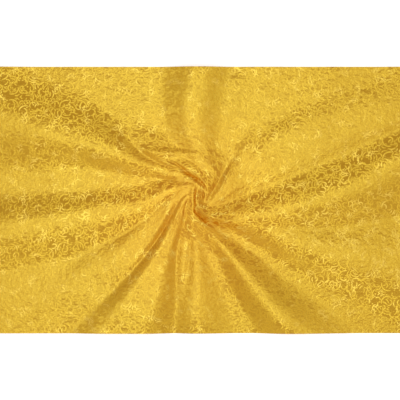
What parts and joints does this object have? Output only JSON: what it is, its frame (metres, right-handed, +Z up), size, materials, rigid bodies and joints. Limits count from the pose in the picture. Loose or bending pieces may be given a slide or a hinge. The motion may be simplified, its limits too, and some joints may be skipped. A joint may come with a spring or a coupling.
{
  "type": "brocade cloth length",
  "caption": "Cut length of gold satin brocade cloth, pinched and twisted at its middle so that soft folds spread over the surface it lies on.",
  "frame": {"origin": "middle of the cloth's rectangle, on the surface that it lies on", "axes": "+X along the long edges, +Y towards the long edge at the top of the picture, +Z up from the surface to the right side of the cloth"},
  "size_m": [0.6602, 0.4267, 0.0165],
  "materials": {
    "brocade": "satin"
  },
  "bodies": {
    "root": {"brocade_cloth": "brocade"}
  },
  "joints": []
}
